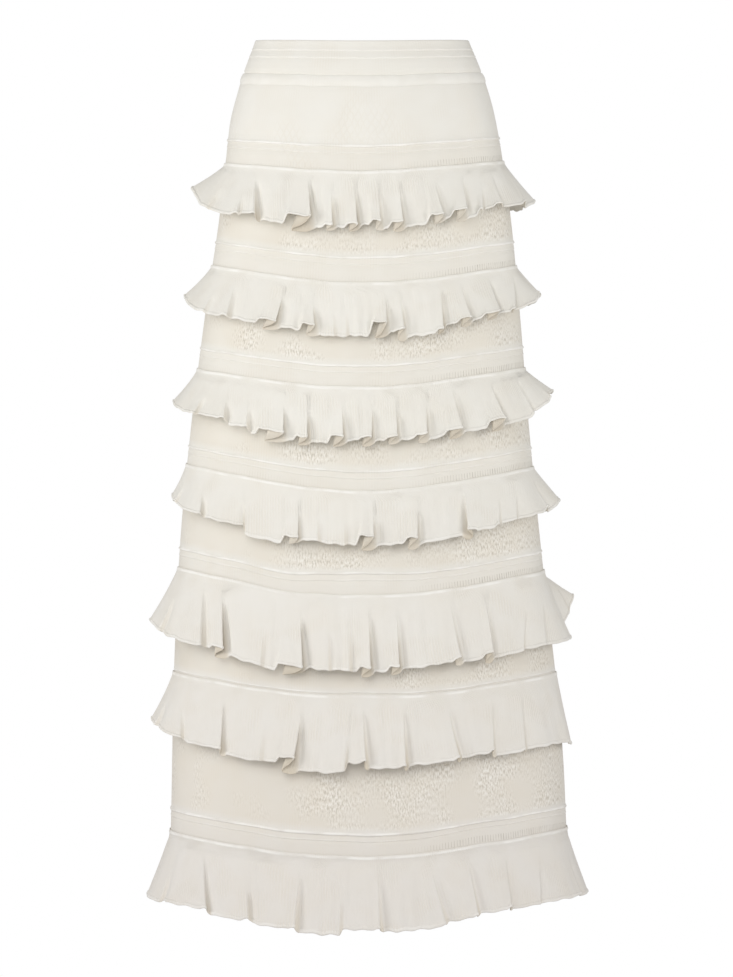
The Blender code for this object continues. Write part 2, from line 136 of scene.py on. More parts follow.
# ---------------------------------------------------------------- folds of the ruffles
# A row for each fold: its turn where it meets the hem, how many degrees further round it starts at
# the seam, the share of the ruffle's length where it starts, how deep it is, the crease's width
# in mm, how far (mm, plus towards higher turns) the hem arches up beside it, how high (mm) that
# arch is, and how much lower (mm) the hem hangs from this fold to the next.
Fold = namedtuple("Fold", "turn lean start depth width arch rise drop")
FRONT_FOLDS = (
    ((13, -8, 0.3, 0.35, 4, 6, 2, -8), (25.5, -2.5, 0.2, 0.5, 2.5, 8, 4, -9),
     (33.5, -5, 0.4, 0.4, 2.4, 6, 8, -2), (40.5, -2, 0.15, 0.75, 2.4, 14, 8.5, -4),
     (50, 2.5, 0.2, 0.7, 2.6, 15, 9.5, -1), (68.5, 2, 0.2, 0.85, 2.4, 14, 7.5, -0.5),
     (80, 2, 0.3, 0.65, 2.6, 12, 4.5, -6.5), (92.5, 3, 0.2, 0.9, 2.6, 13, 4.5, -3),
     (105.5, 3, 0.3, 0.75, 2.4, 10, 4, -1), (116, 4.5, 0.1, 1, 2.4, 26, 11.5, -1),
     (141, 6, 0.2, 0.9, 2.6, 4, 3, -6), (148, 3, 0.6, 0.35, 4, 6, 3, -3),
     (163, 0, 0.5, 0.3, 5, 5, 1, -2)),
    ((7, 0, 0.4, 0.35, 4, 5, 2, -7), (23, -9, 0, 0.7, 2.4, 6, 3, -7),
     (29.6, -0.6, 0, 0.9, 2.4, 18, 5, -5.5), (41, 2, 0, 0.85, 2.4, 13, 4.5, -6),
     (52, -0.6, 0, 0.95, 2.6, 8, 4.5, 1), (69, 2, 0.3, 0.85, 2.6, 10, 3, -6),
     (77.5, 0.5, 0.3, 0.9, 3.4, 17, 15, -3.5), (98, 2, 0.45, 0.5, 6, 0, 0, -2.5),
     (104, 2, 0.5, 0.4, 5, 0, 0, -2), (112.7, 3.8, 0.4, 0.7, 3.6, 15, 8, -3.5),
     (129.6, -1, 0.3, 0.8, 5, 19, 6, -3), (148.7, 3, 0.3, 0.5, 3, 8, 2.5, -3),
     (159.5, 0, 0.5, 0.35, 5, 5, 1, -4)),
    ((6, 0, 0.4, 0.35, 4, 5, 1.5, 0), (17, 1, 0, 0.9, 2.6, 4, 2, 1),
     (30, 2, 0, 0.9, 2.6, 18, 8, 1.5), (45.6, 2.5, 0, 0.95, 3.4, 17, 5.5, 1),
     (59.5, -1, 0.35, 0.8, 4.2, 12, 3.5, -2), (72, 0.5, 0.4, 0.75, 3.6, 13, 4, -3),
     (83.7, 0, 0.3, 0.9, 3.4, 14, 4.5, -3.5), (97, 2, 0.3, 0.85, 4, 16, 8, 0),
     (113, 2, 0.4, 0.85, 4, 14, 6.5, 2.5), (122.6, 3.4, 0.4, 0.7, 4.5, 29, 7.5, 2.5),
     (137, 3, 0.5, 0.5, 2.6, 4, 3, -3), (145.5, 4, 0.5, 0.5, 3, 6, 2, -8),
     (158, 0, 0.5, 0.6, 3.5, 5, 1.5, -7)),
    ((12, 0, 0.3, 0.35, 4, 5, 1.5, -4), (27.7, -5.8, 0.4, 0.5, 2.6, 4, 1.5, -3.5),
     (34, -3.6, 0.4, 0.5, 2.6, 5, 3, -0.5), (47, -2, 0, 0.95, 3.6, -10, 4, 1.5),
     (64.5, -1.4, 0.35, 0.85, 2.6, 13, 5, -1.5), (82.7, 0.6, 0.4, 0.9, 4.5, 18, 9.5, -3),
     (96, 0, 0.5, 0.35, 5, 0, 0, -2), (107.5, 1.3, 0.5, 0.5, 3, 0, 0, -3),
     (115.2, 1.8, 0.4, 0.7, 4.2, 17, 9, 5.5), (136.5, 3, 0.4, 0.6, 2.4, -3, 1.5, -4),
     (152, 5, 0.5, 0.6, 3, 4, 2, -6), (168, 0, 0.5, 0.35, 4, 4, 1, -7)),
    ((356, 0, 0.2, 0.9, 3, 0, 0, 0), (22, -8, 0.4, 0.45, 3, 0, 0, -0.5),
     (30, -7.5, 0.4, 0.5, 3, 0, 0, 1), (40.5, -0.6, 0.1, 0.95, 3, 10, 4, -1.5),
     (51, 2.4, 0.15, 0.75, 3.6, 8, 3, -4.5), (73.6, 1.1, 0.15, 0.9, 5, 12, 5, -3),
     (85.2, 1.5, 0.15, 0.95, 3.4, 14, 4, -4), (94.3, 0.6, 0.4, 0.45, 3.5, 0, 0, -5),
     (102.8, 1.1, 0.4, 0.5, 3, 0, 0, -4), (112.5, 3.4, 0.2, 0.95, 4.2, 28, 8.5, 3),
     (128, 0, 0.5, 0.35, 5, 0, 0, 1.5), (140.4, 5.8, 0.2, 0.9, 2.6, 16, 4, -1.5),
     (148, 6, 0.15, 0.6, 3, 3, 2, -2), (166, 0, 0.4, 0.35, 5, 0, 0, -3)),
    ((12, 0, 0.4, 0.35, 5, 0, 0, 0), (32, -2.4, 0.15, 0.7, 3, 4, 1.5, 0.5),
     (42.7, -2.1, 0.15, 0.75, 3, 5, 2, -5.5), (54.3, 3.4, 0.05, 0.95, 3.4, 5, 2.5, -4.5),
     (73.4, 0.7, 0.15, 0.9, 3.2, 5, 2.5, -2.5), (88.8, 2, 0.1, 0.95, 3.2, 5, 2, -8),
     (97.4, -2, 0.5, 0.5, 3, 10, 2, 3), (116, -1.6, 0.2, 0.95, 3.4, 18, 7.5, -1.5),
     (128, 0, 0.5, 0.35, 5, 0, 0, 0.5), (141, 3.3, 0.2, 0.75, 3, 6, 1.5, -3.5),
     (156.3, 7, 0.5, 0.5, 3, 0, 0, -6), (170, 0, 0.5, 0.35, 4, 0, 0, -6)),
    ((12, 0, 0.4, 0.35, 6, 0, 0, -4), (31.5, -5, 0.4, 0.5, 6, 0, 0, -4),
     (41, -0.8, 0.1, 0.64, 4.5, 5, 3, -4), (51.6, 1.8, 0.1, 0.66, 4.5, 5, 2, -1.5),
     (62, 5.4, 0.2, 0.5, 7, 4, 2, 2.5), (85, 1.3, 0.2, 0.55, 7, 6, 2, -0.5),
     (100, 0, 0.5, 0.5, 4.5, 0, 0, 6), (115.4, -0.5, 0.2, 0.58, 7, 6, 2, 2.5),
     (130.6, 3.7, 0.5, 0.5, 5, 6, 2, 1), (144, 7, 0.1, 0.6, 5, 6, 2, -3.5),
     (163, 0, 0.5, 0.4, 5, 0, 0, -1)),
)

# The back's folds are spread evenly over it, and each measure strays round a mean.
BACK_FOLDS = 11
BACK_MEAN = Fold(0.0, 0.0, 0.2, 0.75, 3.12, 8.4, 4.2, 0.0)
BACK_REACH = Fold(3.5, 3.0, 0.2, 0.225, 1.04, 7.0, 2.8, 2.5)
BACK_SALT = Fold(0.0, 0.5, 0.7, 7.0, 0.6, 0.2, 0.4, 0.9)
BACK_SIDE_DEPTH, BACK_SIDE_REACH = 0.4, 0.45  # how deep at the side seams, and up to where

MM = 1000.0  # in a metre
# Shares of the ruffle's length are counted from the seam.
FOLD_SOONEST, FOLD_ONSET = 0.13, 0.27  # where a fold may start, and takes to come to its depth
FOLD_EVEN, FOLD_EASE, FOLD_MOST = 0.22, 0.20, 0.90  # how evenly deep it is down to the hem
FOLD_EVEN_FROM = 0.05
CREASE_AT_SEAM, ARCH_AT_SEAM, FOLD_AT_SEAM = 0.6, 0.4, 0.5  # how wide, as a share of the hem's
CREASE_DEPTH = 0.60  # of the deepest crease, as a share of the way to the body
TROUGH_SHARE, TROUGH_REACH = 0.5, 0.0130  # how much of a crease is a wide trough, and how wide
HOLLOW_DEPTH, HOLLOW_START = 0.10, 0.3  # of the cloth over an arch, and how far into the fold
TUCK = 0.15  # of the cloth between arches, at the hem
FOLD_HALF = 0.0022  # half the width over which the cloth turns under at a fold
UNDER_SHARE, UNDER_START = 0.8, 0.3  # how much of an arch has cloth folded under it, from where
UNDER_DEPTHS = (0.5, 0.75)  # the fold's depth from which any cloth is folded under, and all
ARCH_END, ARCH_PAST = 0.0050, 0.7  # how far an arch takes to end, and its share past the end
HOLLOW_ARCH, UNDER_ARCH = 5.0, 8.0  # the arch in mm that has all of a hollow, and of a fold
EDGE_STAND, EDGE_REACH = 0.0012, 0.0045  # how far a lobe's folded edge stands out
HANG = 0.0060  # how much lower the cloth folded under hangs at the hem
HANG_STARTS, HANG_ENDS = (0.20, 0.55), (0.72, 1.02)  # which of the folded cloth does, as shares
HIDDEN_STARTS, HIDDEN_ENDS = (0.0, 0.15), (0.80, 1.0)  # which of it lies in the fold's shade
GATHER_END = 0.19  # the share of the length by which the columns are where they meet the hem
SIDE_CALM, HEM_SIDE_CALM = 0.8, 0.5  # how much less ruffles pucker and hems wander sideways

# Smooth unevenness: how much, how fast it changes on the way down, the number that it is drawn
# with, and how many waves go round in each layer.
Waves = namedtuple("Waves", "height drift salt counts")
LINE_WANDER = Waves(0.0004, 1.0, 2, (5, 8, 13, 21))  # of the body's lines, up or down
UNEVEN = Waves(0.0007, 1.0, 5, (3, 7, 11, 17))  # of the body's cloth, in or out
SWELL = Waves(0.0012, 0.05, 11, (9, 16, 23, 31))  # of the ruffles, in or out
PUCKER = Waves(0.0009, 0.08, 17, (47, 59, 71, 83))  # the same, finer
HEM_WANDER = Waves(0.0010, 0.0, 23, (37, 53, 67))  # of the hems, up or down
RIB_PATCHES = Waves(1.0, 0.10, 31, (23, 34, 47, 58))  # of the ribs' height, as a share
WAVE_PHASE, WAVE_DRIFT, WAVE_EVENING = 6.0, 18.0, 1.3
LINE_WANDER_FROM, UNEVEN_FROM = 0.05, 0.08  # how far down the body has all its unevenness

# ---------------------------------------------------------------- fineness
PANEL_COLUMNS = 540
RIB_PITCH, RIB_COLUMNS = 0.0032, 2
RIB_HEIGHT = 0.00014
RUFFLE_WALL = 0.0009
MIDDLE_ROWS = 12
LONGEST_STEP = 0.0065
LONGEST_INNER_STEP = 0.02
HEM_SAMPLES, HEM_SAMPLED_AT = 24000, 0.9


# ---------------------------------------------------------------- numbers
def smooth_through(places, values, at):
    """Values at many places, on a smooth curve through a table's rows."""
    places, values = np.asarray(places, float), np.asarray(values, float)
    at = np.clip(at, places[0], places[-1])
    row = np.clip(np.searchsorted(places, at, side="right") - 1, 0, len(places) - 2)
    run, climb = (np.pad(table, 1, mode="edge") for table in (places, values))
    slope = (climb[2:] - climb[:-2]) / (run[2:] - run[:-2])
    span = places[row + 1] - places[row]
    u = (at - places[row]) / span
    start, end = values[row], values[row + 1]
    bend = (u**3 - 2 * u**2 + u) * slope[row] + (u**3 - u**2) * slope[row + 1]
    return start + (end - start) * (3 * u**2 - 2 * u**3) + bend * span


def smooth_step(x):
    x = np.clip(x, 0.0, 1.0)
    return x * x * (3.0 - 2.0 * x)


def ramp(x, low, high):
    """0 up to low, 1 from high, with a smooth rise between them."""
    return smooth_step((x - low) / (high - low))


def bell(x):
    return np.exp(-(x**2))


def widened(share, at_seam):
    """How wide a form is that is at_seam times as wide at the seam as it is at the hem."""
    return at_seam + (1.0 - at_seam) * share


def wander(index, salt):
    """A steady number from -1 to 1 that jumps about from one index to the next."""
    return math.sin(12.9898 * (index + 1) + 78.233 * salt)


def turned_apart(turn, other):
    return (turn - other + 180.0) % 360.0 - 180.0


def waves(kind, angle, along, number=0):
    """A smooth uneven field round the skirt, of its own for each number. Whole counts join up."""
    total, salt = 0.0, number + kind.salt
    for i, count in enumerate(kind.counts):
        drift = WAVE_DRIFT * wander(i, salt + 0.3) * kind.drift
        total = total + np.sin(count * angle + WAVE_PHASE * wander(i, salt) + drift * along)
    return kind.height * total / len(kind.counts) ** 0.5 / WAVE_EVENING


# ---------------------------------------------------------------- the body as a surface
FLATNESS = 2.3  # how flat the lines' lowest stretch is, 2 for an even curve

# Where a line of knit sits higher than it would: how far down, its turn, how far round, how much.
Shift = namedtuple("Shift", "down turn reach up")
SHIFTS = (
    Shift(0.5524, 90, 22, 0.0040),
    Shift(0.5524, 122, 12, -0.0030),
    Shift(0.5749, 122, 14, -0.0025),
    Shift(0.6850, 90, 24, 0.0025),
    Shift(0.8440, 52, 12, 0.0040),
    Shift(0.8440, 30, 14, 0.0030),
    Shift(0.8440, 122, 9, -0.0015),
)
SHIFT_DEPTH = 0.016


def height_at(down, turn):
    places = [0.0] + [seam.down for seam in SEAMS]
    dip = smooth_through(places, [TOP_DIP] + [seam.dip for seam in SEAMS], down)
    tilt = smooth_through(places, [0.0] + [seam.tilt for seam in SEAMS], down)
    angle = np.radians(turn)
    dip = np.where(np.sin(angle) < 0, dip * BACK_DIP_SHARE, dip)
    sag = 1.0 - np.abs(np.cos(angle)) ** FLATNESS
    strayed = smooth_step(down / LINE_WANDER_FROM) * waves(LINE_WANDER, angle, down)
    for shift in SHIFTS:
        round_by = turned_apart(turn, shift.turn) / shift.reach
        strayed = strayed + shift.up * bell(round_by) * bell((down - shift.down) / SHIFT_DEPTH)
    return -down - dip * sag + tilt * np.cos(angle) + strayed


def plan_at(down, turn):
    """The body's outer face from above: x, y and the outward direction."""
    downs = [section.down for section in SECTIONS]
    half, front, back, sway = (
        smooth_through(downs, [getattr(section, name) for section in SECTIONS], down)
        for name in ("half_width", "front", "back", "sway")
    )
    angle = np.radians(turn)
    cos, sin = np.cos(angle), np.sin(angle)
    deep = np.where(sin > 0, front, back)
    n = SQUARENESS
    reach = (np.abs(cos / half) ** n + np.abs(sin / deep) ** n) ** (-1 / n)
    x, y = reach * cos, -reach * sin
    out_x = np.copysign(np.abs(x) ** (n - 1) / half**n, x)
    out_y = np.copysign(np.abs(y) ** (n - 1) / deep**n, y)
    size = np.hypot(out_x, out_y)
    out_x, out_y = out_x / size, out_y / size
    strayed = smooth_step(down / UNEVEN_FROM) * waves(UNEVEN, angle, down)
    return x + sway + strayed * out_x, y + strayed * out_y, out_x, out_y


def body_points(down, turn, out):
    x, y, out_x, out_y = plan_at(down, turn)
    z = height_at(down, turn)
    return np.stack([x + out * out_x, y + out * out_y, z + 0 * x], -1)


# ---------------------------------------------------------------- ruffles as surfaces
def back_fold(number, i):
    table = zip(BACK_MEAN, BACK_REACH, BACK_SALT)
    fold = Fold(*(mean + reach * wander(i, number + salt) for mean, reach, salt in table))
    turn = 180.0 + (i + 0.5) * 180.0 / BACK_FOLDS + fold.turn
    middling = float(smooth_step(math.sin(math.radians(turn - 180.0)) / BACK_SIDE_REACH))
    depth = min(fold.depth * widened(middling, BACK_SIDE_DEPTH), 1.0)
    return fold._replace(turn=turn, depth=depth)


def folds_of(number):
    """A ruffle's folds all round, in the order of their turns."""
    folds = [Fold(*row) for row in FRONT_FOLDS[number]]
    folds += [back_fold(number, i) for i in range(BACK_FOLDS)]
    return sorted((fold._replace(turn=fold.turn % 360.0) for fold in folds), key=lambda f: f.turn)


def lean_at(folds, column):
    """How much further round the seam lies the start of a column that meets the hem at a turn."""
    return np.interp(column, [f.turn for f in folds], [f.lean for f in folds], period=360.0)


def flick_at(number, turn):
    out, lift = 0.0, 0.0
    for flick in FLICKS:
        if flick.ruffle == number + 1:
            share = bell(turned_apart(turn, flick.turn) / flick.reach)
            out = out + flick.out * share
            lift = lift + flick.lift * share
    return out, lift


def fold_place(fold, side, turn, share, reach):
    """Where turns lie beside a fold: how far (m) to the side of the lobe on top, how far (0 to 1)
    through the cloth that is folded under, and how far (m) past it, down to the hidden side."""
    away = turned_apart(turn, fold.turn + fold.lean * (1.0 - share))
    beside = side * np.radians(away) * reach
    half = FOLD_HALF * widened(share, FOLD_AT_SEAM)
    through = np.clip((half - beside) / (2.0 * half), 0.0, 1.0)
    return beside, through, np.minimum(beside + half, 0.0)


# What the folds do at each place: the share of the flare that is left, how much higher and lower
# the cloth hangs, how far it moves round the skirt and out, how much (0 to 1) it is part of an
# arch and hidden under a lobe, and how much lower (mm) the hem is.
Folding = namedtuple("Folding", "open_share rise sag slide stand arched hidden drop")


def folding_at(folds, turn, share, column, reach):
    open_share = np.ones_like(turn)
    rise, sag, slide, stand, arched, hidden = (np.zeros_like(turn) for _ in range(6))
    drop = np.full_like(turn, folds[-1].drop)
    broad = widened(share, ARCH_AT_SEAM)
    for before, fold in zip([folds[-1]] + folds[:-1], folds):
        side = -1.0 if fold.arch < 0 else 1.0
        beside, through, past = fold_place(fold, side, turn, share, reach)
        onset = smooth_step((share - max(fold.start, FOLD_SOONEST)) / FOLD_ONSET)
        width = fold.width / MM * widened(share, CREASE_AT_SEAM)
        trough = TROUGH_SHARE * bell(past / (TROUGH_REACH * broad))
        crease = np.sqrt(through) * (trough + (1.0 - TROUGH_SHARE) * bell(past / width))

        arch = abs(fold.arch) / MM
        arch_end = (arch * broad - beside) / ARCH_END + ARCH_PAST
        hollow = smooth_step(1.0 - through / HOLLOW_START) * smooth_step(arch_end)
        hollow = hollow * min(abs(fold.arch) / HOLLOW_ARCH, 1.0)
        sunk = 1.0 - CREASE_DEPTH * fold.depth * crease
        sunk = sunk * (1.0 - HOLLOW_DEPTH * fold.depth * hollow * share**2)
        open_share *= 1.0 - onset * (1.0 - sunk)
        rise = np.maximum(rise, onset * fold.rise / MM * hollow)
        arched = np.maximum(arched, onset * hollow)
        edge = bell(np.maximum(beside, 0.0) / EDGE_REACH) * (1.0 - through)
        stand += EDGE_STAND * onset * fold.depth * share * edge

        strength = float(ramp(fold.depth, *UNDER_DEPTHS)) * min(abs(fold.arch) / UNDER_ARCH, 1.0)
        under = arch * UNDER_SHARE * ramp(share, UNDER_START, 1.0)
        slide += side * onset * strength * under * np.sin(np.pi * through) ** 2
        hanging = ramp(through, *HANG_STARTS) * (1.0 - ramp(through, *HANG_ENDS))
        sag = np.maximum(sag, HANG * onset * fold.depth * strength * hanging)
        inward = ramp(through, *HIDDEN_STARTS) * (1.0 - ramp(through, *HIDDEN_ENDS))
        hidden = np.maximum(hidden, onset * fold.depth * inward)
        passed = (column % 360.0 - fold.turn) * math.radians(1.0) * reach / FOLD_HALF
        drop += (fold.drop - before.drop) * smooth_step(passed / 2.0 + 0.5)
    return Folding(open_share, rise, sag, slide, stand, arched, hidden, drop)


def ruffle_surface(number, folds, share, column, gather=0.0):
    """Points of a ruffle's outer face, and how hidden in a fold they are. share is how far down a
    row is, from 0 to 1, and column the turn at which a column of stitches meets the hem. gather
    says how much further round it starts. At a fold the cloth goes back under the lobe and then
    on again, in a Z seen from below."""
    seam, ruffle = SEAMS[number], RUFFLES[number]
    turn = column + lean_at(folds, column) * (1.0 - share)
    turn = turn + gather * (1.0 - smooth_step(share / GATHER_END))
    angle = np.radians(turn)
    x, y, _, _ = plan_at(seam.down, turn)
    reach = np.hypot(x, y)
    sideways = np.cos(angle) ** 2
    flare = ruffle.front_out + (ruffle.side_out - ruffle.front_out) * sideways
    fall = np.sqrt(ruffle.length**2 - flare**2) * share
    flick_out, flick_lift = flick_at(number, turn)
    calm = 1.0 - SIDE_CALM * sideways
    crest = (flare + flick_out) * share**FLARE_CURVE
    crest = crest + share * waves(SWELL, angle, share, number)
    crest = crest + calm * share * waves(PUCKER, angle, share, number)

    seat = SEAM_GAP + WALL
    if number == len(RUFFLES) - 1:
        seat = seat * (1.0 - smooth_step(share / HEM_SEAM_SHARE))
        deepest = HEM_RUFFLE_TROUGH * share
    else:
        below = plan_at(seam.down + fall, turn)
        deepest = np.hypot(below[0], below[1]) - reach + LEAST_CLEARANCE * share

    folding = folding_at(folds, turn, share, column, reach)
    tucked = TUCK * (1.0 - sideways) * (1.0 - folding.arched) * share**3
    sunk = 1.0 - folding.open_share * (1.0 - tucked)
    evened = np.maximum(share, FOLD_EVEN_FROM) ** -FOLD_EVEN * (1.0 - FOLD_EASE * share)
    depth = np.minimum(sunk * evened, FOLD_MOST)
    out = seat + crest + folding.stand - np.maximum(crest - deepest, 0.0) * depth
    lift = (ruffle.side_lift * sideways + flick_lift) * share
    lift = lift + folding.rise * share**2.5 - folding.sag * share**3 - folding.drop / MM * share**2
    steady = 1.0 - HEM_SIDE_CALM * sideways
    lift = lift + steady * share**4 * waves(HEM_WANDER, angle, share, number)
    moved = turn + np.degrees(folding.slide / reach)
    x, y, out_x, out_y = plan_at(seam.down, moved)
    z = height_at(seam.down, moved) - SEAM_GAP - fall + lift
    return np.stack([x + out * out_x, y + out * out_y, z + 0 * out], -1), folding.hidden


# ---------------------------------------------------------------- meshes
# A side of a closed wall: rows of points going down, how high up the cloth each row is, and how
# much net, ladder, painted highlight and painted shade each place has.
Face = namedtuple("Face", "points up marks")


def normals_of(points):
    """Outward unit normals of a closed ring of rows that go down."""
    along = np.roll(points, -1, axis=1) - np.roll(points, 1, axis=1)
    down = np.gradient(points, axis=0)
    out = np.cross(along, down)
    return out / np.maximum(np.linalg.norm(out, axis=-1, keepdims=True), 1e-12)


def cut_in_triangles(upper_left, upper_right, lower_left, lower_right, outside):
    """Each strip's two triangles. On the inside the rows go up, so the diagonal turns."""
    first = np.stack([upper_left, upper_right, lower_right], -1)
    second = np.stack([upper_left, lower_right, lower_left], -1)
    inner_first = np.stack([upper_left, upper_right, lower_left], -1)
    inner_second = np.stack([upper_right, lower_right, lower_left], -1)
    pair = [np.where(outside, first, inner_first), np.where(outside, second, inner_second)]
    return np.stack(pair, 2).ravel()


def add_tube(name, outer, inner, cloth_u, material):
    """A closed wall all round the skirt. Its map named cloth holds metres round and up the cloth,
    and the maps zones and lines the marks. Both faces are cut along the same diagonals."""
    rows, columns = outer.points.shape[:2]
    points = np.concatenate([outer.points, inner.points[::-1]])
    up = np.concatenate([outer.up, inner.up[::-1]])
    marks = [np.broadcast_to(m, (len(m), columns, 4)) for m in (outer.marks, inner.marks[::-1])]
    marks = np.concatenate(marks)
    r, c = np.meshgrid(np.arange(len(points)), np.arange(columns), indexing="ij")
    below, right = (r + 1) % len(points), (c + 1) % columns
    outside = (r < rows)[..., None]

    def spread_out(value_at):
        corners = [value_at(r, c), value_at(r, right), value_at(below, c), value_at(below, right)]
        return cut_in_triangles(*corners, outside)

    vertex = spread_out(lambda row, column: row * columns + column)
    zones_and_lines = [spread_out(lambda row, column, i=i: marks[row, column, i]) for i in range(4)]
    u = np.append(cloth_u, 2 * cloth_u[-1] - cloth_u[-2])
    across = cut_in_triangles(u[c], u[c + 1], u[c], u[c + 1], outside)
    maps = (
        ("cloth", across, spread_out(lambda row, column: up[row])),
        ("zones", *zones_and_lines[:2]),
        ("lines", *zones_and_lines[2:]),
    )

    mesh = bpy.data.meshes.new(name)
    mesh.vertices.add(len(points) * columns)
    mesh.vertices.foreach_set("co", points.astype(np.float32).ravel())
    mesh.loops.add(len(vertex))
    mesh.loops.foreach_set("vertex_index", vertex.astype(np.int32))
    mesh.polygons.add(len(vertex) // 3)
    mesh.polygons.foreach_set("loop_start", np.arange(0, len(vertex), 3, dtype=np.int32))
    mesh.update(calc_edges=True)
    for map_name, first, second in maps:
        layer = mesh.uv_layers.new(name=map_name)
        layer.uv.foreach_set("vector", np.stack([first, second], -1).astype(np.float32).ravel())
    mesh.materials.append(material)
    mesh.shade_smooth()
    return add_object(name, mesh)


def add_object(name, data):
    made = bpy.data.objects.new(name, data)
    bpy.context.collection.objects.link(made)
    return made


def steps_round(points, axis=0):
    return np.linalg.norm(np.roll(points, -1, axis=axis) - points, axis=-1)


def ring_length(points):
    return float(steps_round(points).sum())


# ---------------------------------------------------------------- materials
ROUGHNESS, SPECULAR, SHEEN, SHEEN_ROUGHNESS = 0.88, 0.2, 0.12, 0.6


class Shade:
    """A material's nodes, built up from short calls."""

    def __init__(self, name):
        self.material = bpy.data.materials.new(name)
        self.material.use_nodes = True
        self.tree = self.material.node_tree
        self.shader = self.tree.nodes["Principled BSDF"]
        self.shader.inputs["Roughness"].default_value = ROUGHNESS
        self.shader.inputs["Specular IOR Level"].default_value = SPECULAR
        self.shader.inputs["Sheen Weight"].default_value = SHEEN
        self.shader.inputs["Sheen Roughness"].default_value = SHEEN_ROUGHNESS
        self.place = self.node("ShaderNodeTexCoord").outputs["Object"]
        parts = self.node("ShaderNodeSeparateXYZ")
        self.link(self.place, parts.inputs[0])
        self.x, _, self.z = parts.outputs

    def node(self, kind, **settings):
        made = self.tree.nodes.new(kind)
        for key, value in settings.items():
            setattr(made, key, value)
        return made

    def link(self, value, socket):
        if isinstance(value, (int, float, tuple)):
            socket.default_value = value
        else:
            self.tree.links.new(value, socket)

    def math(self, operation, a, b=0.0, c=0.0, clamp=False):
        made = self.node("ShaderNodeMath", operation=operation, use_clamp=clamp)
        for value, socket in zip((a, b, c), made.inputs):
            self.link(value, socket)
        return made.outputs[0]

    def add(self, a, b, clamp=False):
        return self.math("ADD", a, b, clamp=clamp)

    def less(self, a, b, clamp=False):
        return self.math("SUBTRACT", a, b, clamp=clamp)

    def times(self, a, b):
        return self.math("MULTIPLY", a, b)

    def scaled(self, value, by, plus, clamp=False):
        return self.math("MULTIPLY_ADD", value, by, plus, clamp=clamp)

    def map(self, name):
        parts = self.node("ShaderNodeSeparateXYZ")
        self.link(self.node("ShaderNodeUVMap", uv_map=name).outputs[0], parts.inputs[0])
        return parts.outputs[0], parts.outputs[1]

    def noise(self, scale, detail, vector=None):
        made = self.node("ShaderNodeTexNoise")
        made.inputs["Scale"].default_value = scale
        made.inputs["Detail"].default_value = detail
        self.link(self.place if vector is None else vector, made.inputs["Vector"])
        return made.outputs[0]

    def wave(self, at, pitch, shift=0.0):
        """From 0 to 1 and back over each pitch."""
        turned = self.scaled(at, 2 * math.pi / pitch, shift)
        return self.scaled(self.math("COSINE", turned), 0.5, 0.5)

    def above(self, value, low, high):
        """0 up to low, 1 from high."""
        return self.scaled(value, 1.0 / (high - low), -low / (high - low), clamp=True)

    def patches(self, kind):
        return self.above(self.noise(kind.scale, kind.detail), kind.low, kind.high)

    def mix(self, factor, a, b):
        made = self.node("ShaderNodeMix", data_type="RGBA")
        self.link(factor, made.inputs["Factor"])
        colours = [s for s in made.inputs if s.type == "RGBA"]
        for value, socket in zip((a, b), colours):
            self.link(value, socket)
        return next(s for s in made.outputs if s.type == "RGBA")

    def bump(self, height, distance, strength):
        made = self.node("ShaderNodeBump")
        made.inputs["Strength"].default_value = strength
        made.inputs["Distance"].default_value = distance
        self.link(height, made.inputs["Height"])
        return made.outputs[0]


# The knit's own ivory and the colours it is mixed towards: painted highlight, a deep ivory that is
# partly painted shade, painted shade, and painted shade towards the bottom.
IVORY = (0.828, 0.806, 0.746, 1.0)
IVORY_HIGHLIGHT = (0.95, 0.93, 0.89, 1.0)
IVORY_DEEP = (0.70, 0.62, 0.49, 1.0)
IVORY_SHADE = (0.63, 0.56, 0.45, 1.0)
IVORY_LOW_SHADE = (0.745, 0.711, 0.668, 1.0)
# Painted shade that makes the cloth darker and greyer towards the bottom.
LOW_SHADE_DOWN = (0.43, 0.92)  # how far down the cloth starts to look greyer, and where it is greyest

# Where in the knit something shows: its patches' size, detail, and the noise where they end.
Patches = namedtuple("Patches", "scale detail low high")
HIGHLIGHT_PATCHES = Patches(38.0, 2.0, 0.38, 0.62)  # of the light on raised lines
GROOVE_PATCHES = Patches(34.0, 1.0, 0.46, 0.66)  # of the ribs' grooves
LATTICE_PATCHES = Patches(13.0, 1.0, 0.5, 0.62)
FAINT_SLOT_PATCHES = Patches(11.0, 1.0, 0.5, 0.62)
# How much of the painted highlight is left, out of and in its patches.
HIGHLIGHT_MOST, HIGHLIGHT_LEAST = 0.6, 0.05

# Upright ribs: how far apart, where they start, and how much painted shade and bump their grooves
# get.
Ribs = namedtuple("Ribs", "pitch shift contrast bump")
FINE_RIBS = Ribs(0.0030, 0.0, 0.10, 0.0)
RUFFLE_RIBS = Ribs(RIB_PITCH, math.pi, 0.17, 1.3)
WALE, COURSE = 0.0012, 0.0010
LOOP_LEAN, LOOP_ROUNDNESS = 1.4, 0.6
NAP_SCALE, BLOTCH_SCALE, BLOTCH_DEPTH = 2600.0, 28.0, 0.3
# STITCH_DEEP is painted shade between the knit's loops.
STITCH_BUMP, NAP_BUMP, STITCH_DEEP = 0.35, 0.35, 0.10
BUMP_DISTANCE, BUMP_STRENGTH = 0.00025, 0.7
LIGHT_OVER_DEEP = 0.25  # how much a light line takes off the deep colour

LATTICE_PITCH, LATTICE_SLOPE, LATTICE_LINES = 0.0075, 0.6, (0.80, 0.98)
LATTICE_BEND, LATTICE_BEND_SCALE = 0.008, 60.0
LATTICE_BUMP, LATTICE_DEEP = 0.5, 0.12

SLOT_PITCH, SLOT_EDGES = 0.0032, (0.70, 0.95)
SLOTS_CLEAR = (0.04, 0.13)  # how far towards +X the slots start to be clear, and are clearest
SLOT_CLEAR, SLOT_FAINT = 1.9, 0.3
SLOT_BREAKS_SCALE, SLOT_BREAKS, SLOT_BREAKS_SHIFT = 140.0, 1.6, -0.3

